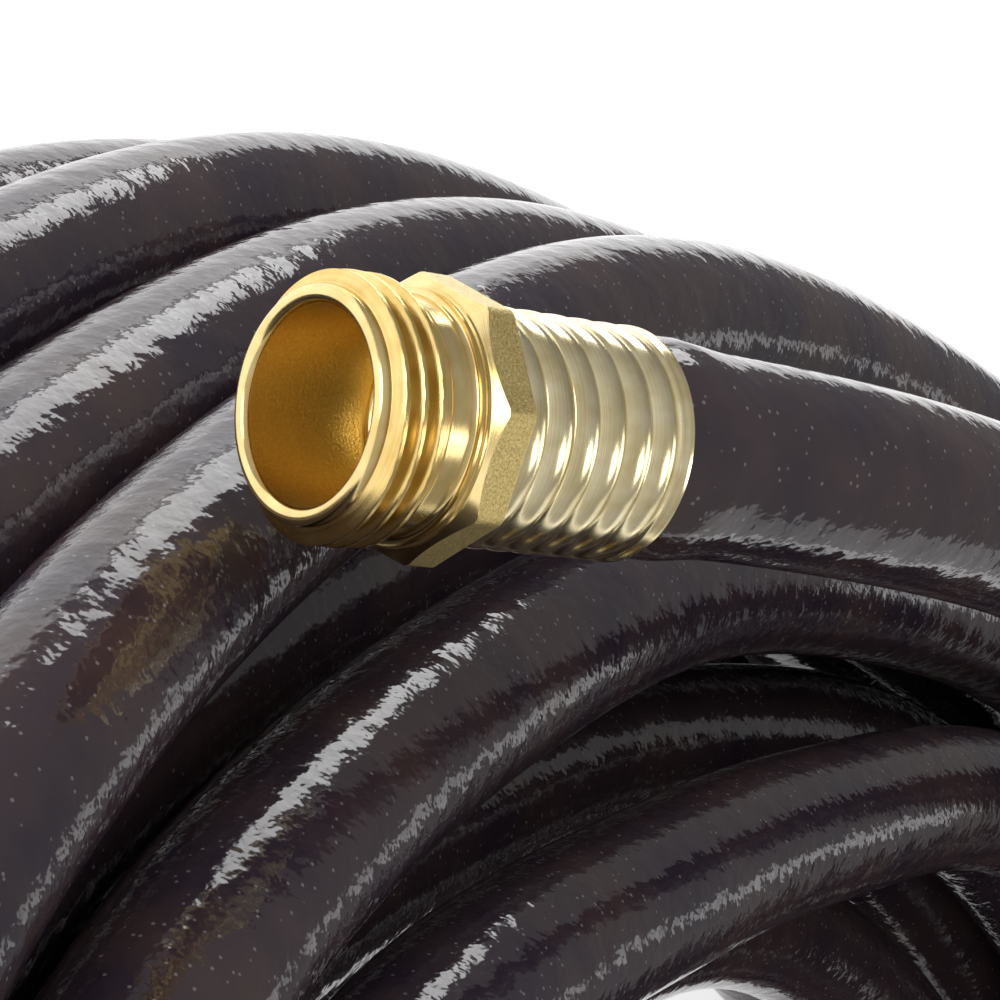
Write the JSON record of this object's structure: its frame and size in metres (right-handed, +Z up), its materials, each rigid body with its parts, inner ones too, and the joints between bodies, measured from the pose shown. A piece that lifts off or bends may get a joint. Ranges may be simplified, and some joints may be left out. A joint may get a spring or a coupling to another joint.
{
  "type": "garden hose",
  "caption": "Reinforced garden hose wound into a flat oval coil, with a male brass thread end and a female brass swivel end.",
  "frame": {"origin": "on the floor, under the middle of the whole coil", "axes": "+Z up, square to the coil; +X along the oval's long axis; -Y towards the side that the male end lies over"},
  "size_m": [0.6042, 0.401, 0.1474],
  "materials": {
    "hose_cover": "glossy, the reinforcement's knit showing through as fine slanted ribs",
    "braid": "pale knitted yarn",
    "liner": "smooth, matt",
    "brass": "turned, bright, with grainy flats",
    "pale_brass": "rolled, bright, paler than the turned brass",
    "washer": "matt black"
  },
  "bodies": {
    "coil": {"hose_cover": "hose_cover", "hose_braid": "braid", "hose_liner": "liner"},
    "male_end": {"male_lead_cover": "hose_cover", "male_lead_braid": "braid", "male_lead_liner": "liner", "male_stem": "brass", "male_ferrule": "pale_brass"},
    "female_end": {"female_lead_cover": "hose_cover", "female_lead_braid": "braid", "female_lead_liner": "liner", "female_stem": "brass", "female_ferrule": "pale_brass"},
    "nut": {"swivel_nut": "brass", "hose_washer": "washer"}
  },
  "joints": [
    {"name": "male_lift", "type": "hinge", "parent": "coil", "child": "male_end", "pos_m": [-0.13183, -0.06986, 0.11639], "axis": [-0.5848, -0.8112, 0], "range_deg": [0, 30]},
    {"name": "female_lift", "type": "hinge", "parent": "coil", "child": "female_end", "pos_m": [-0.01862, 0.03324, 0.03399], "axis": [-0.3297, -0.9441, 0], "range_deg": [0, 25]},
    {"name": "nut_spin", "type": "hinge", "parent": "female_end", "child": "nut", "pos_m": [0.06069, -0.00999, 0.078], "axis": [-0.582, 0.4228, -0.6947], "continuous": true}
  ]
}
